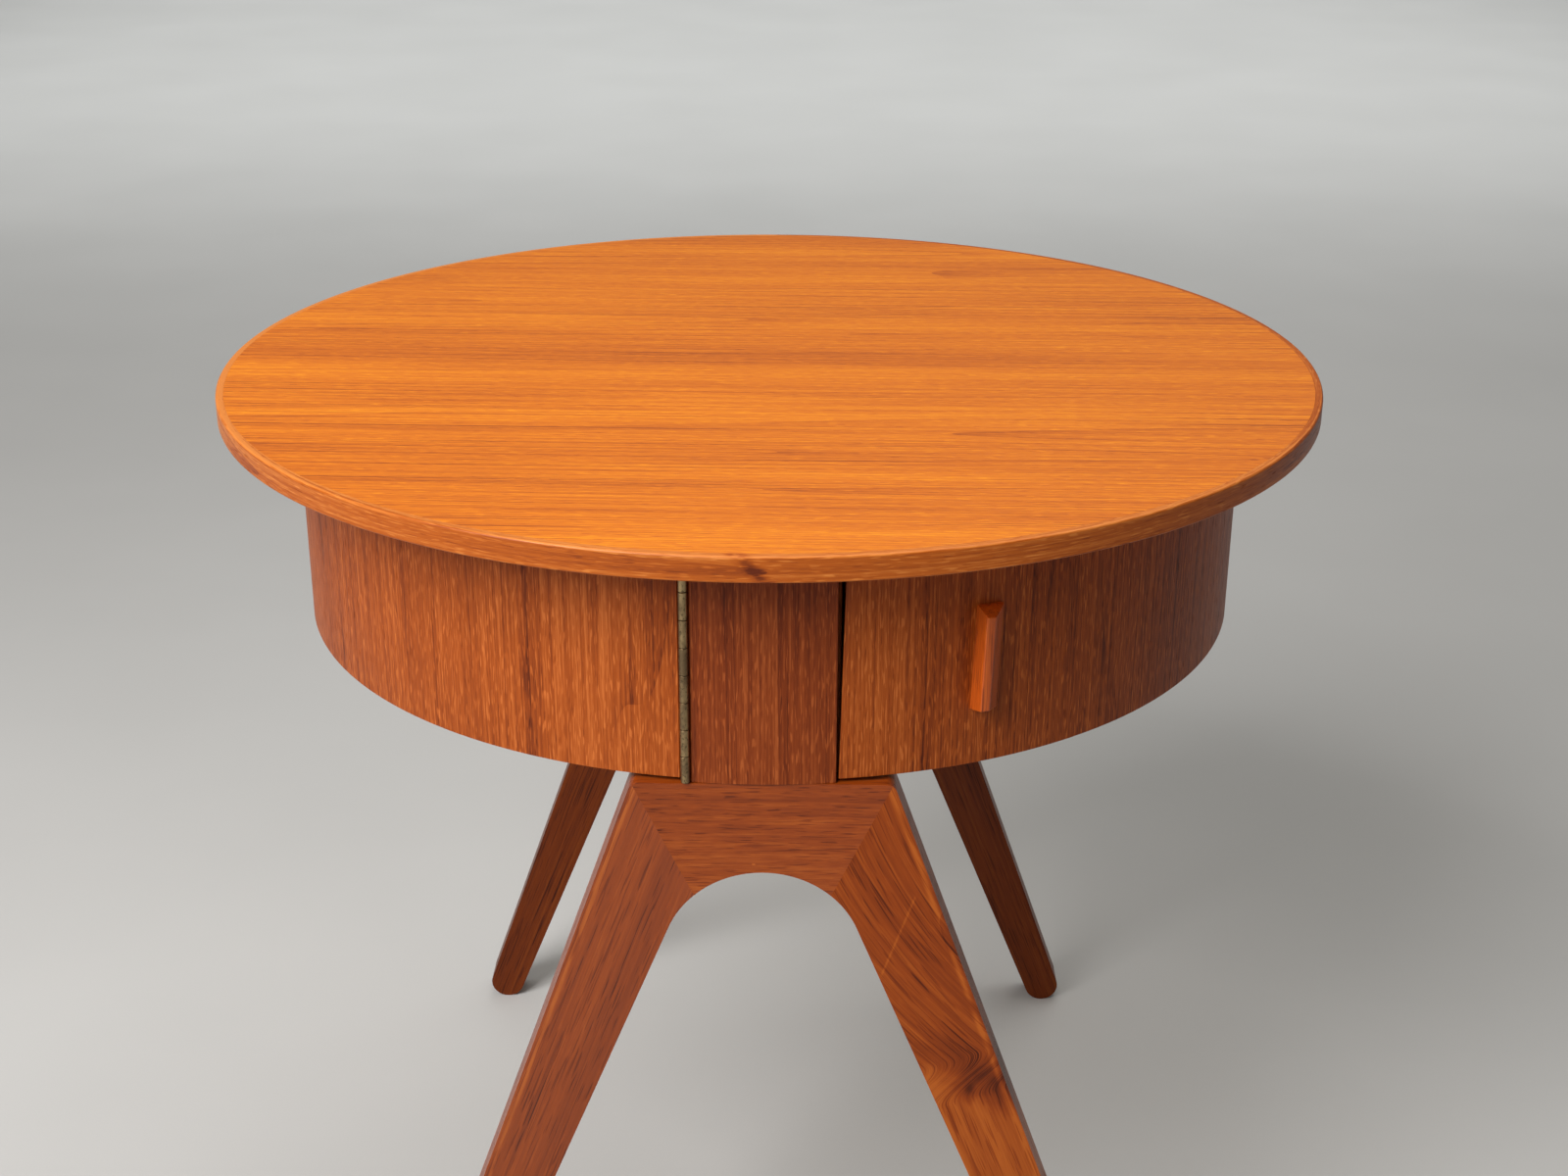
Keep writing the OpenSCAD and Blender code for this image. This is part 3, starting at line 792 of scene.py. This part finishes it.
def dress(finish):
    """Gives the remaining CAD nodes their finishes."""
    kept = {
        "beech": ("spine_base", "spine_top_rail", "front_dowels", "rear_dowels"),
        "plywood": ("left_tray_bottom", "right_tray_bottom"),
        "steel": ("tabletop_screws", "front_frame_screws", "rear_frame_screws", "left_hinge_pin",
                  "right_hinge_pin", "left_handle_screws", "right_handle_screws"),
    }
    for name, nodes in kept.items():
        for node in nodes:
            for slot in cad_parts[node].material_slots:
                slot.material = finish[name]


# --- Camera, lights and floor -------------------------------------------------------------------

def add(name, data, matrix):
    made = bpy.data.objects.new(name, data)
    made.matrix_world = matrix
    bpy.context.scene.collection.objects.link(made)
    return made


def make_camera():
    """A camera in front of the table, which looks down at it."""
    place = Vector((0.0157, -1.127, 0.8813))
    yaw, pitch, roll = -0.007, 0.391, -0.003
    ahead = Vector((sin(yaw) * cos(pitch), cos(yaw) * cos(pitch), -sin(pitch)))
    level = Vector((cos(yaw), -sin(yaw), 0))
    down = ahead.cross(level)
    right = cos(roll) * level + sin(roll) * down
    lower = cos(roll) * down - sin(roll) * level
    data = bpy.data.cameras.new("camera")
    data.lens = 49.9
    data.sensor_width = 36
    axes = Matrix((right, -lower, -ahead)).transposed().to_4x4()
    bpy.context.scene.camera = add("camera", data, Matrix.Translation(place) @ axes)


AIM = Vector((0, 0, 0.35))


def make_light(name, azimuth, height, distance, size, power, colour):
    """A square soft light that faces the table.

    azimuth and height are in degrees: the first from the front, positive to the right, and the
    second from the horizon.
    """
    data = bpy.data.lights.new(name, "AREA")
    data.shape = "SQUARE"
    data.size = size
    data.energy = power
    data.color = colour
    turn, lift = radians(azimuth), radians(height)
    away = Vector((sin(turn) * cos(lift), -cos(turn) * cos(lift), sin(lift)))
    facing = away.to_track_quat("Z", "Y").to_matrix().to_4x4()
    add(name, data, Matrix.Translation(away * distance + AIM) @ facing)


def make_floor_light():
    """A wide light over the floor behind the table, which it doesn't reach."""
    data = bpy.data.lights.new("floor_behind", "AREA")
    data.size = 6
    data.energy = 115
    data.spread = radians(100)
    add("floor_behind", data, Matrix.Translation((0, 5.7, 2)))


def make_floor():
    """A plain pale floor."""
    finish = Finish("pale_floor", Specular_IOR_Level=0.3)
    here = finish.place()
    cloud = finish.noise(here, 3, 3, detail=3)
    grit = finish.noise(here, 900, 900, detail=1)
    tone = cloud * 0.7 + grit * 0.3
    stops = [(0.3, (0.48, 0.49, 0.48)), (0.7, (0.51, 0.52, 0.51))]
    finish.set("Base Color", finish.ramp(tone, stops))
    finish.set("Roughness", 0.55 + cloud * 0.1)
    finish.bump(grit, 0.05 * MM)
    bm = bmesh.new()
    bmesh.ops.create_grid(bm, x_segments=4, y_segments=4, size=60)
    mesh = bpy.data.meshes.new("floor")
    bm.to_mesh(mesh)
    bm.free()
    mesh.materials.append(finish.material)
    add("floor", mesh, Matrix.Identity(4))


def make_studio():
    """A soft window light from the left, a soft overhead light, and a weak light all round."""
    make_light("window", azimuth=-40, height=40, distance=2.6, size=1.5, power=98,
               colour=(1.0, 0.96, 0.95))
    make_light("overhead", azimuth=150, height=72, distance=2.6, size=2.0, power=34,
               colour=(1.0, 0.96, 0.92))
    make_floor_light()
    world = bpy.data.worlds.new("studio")
    world.use_nodes = True
    background = world.node_tree.nodes["Background"]
    background.inputs["Color"].default_value = (1.0, 0.96, 0.92, 1)
    background.inputs["Strength"].default_value = 0.16
    bpy.context.scene.world = world
    bpy.context.scene.view_settings.view_transform = "Standard"


# --- The table ----------------------------------------------------------------------------------

make_camera()
make_studio()
make_floor()
finishes = make_finishes()
make_top(finishes)
make_drum(finishes)
make_fittings(finishes)
make_frames(finishes)
dress(finishes)
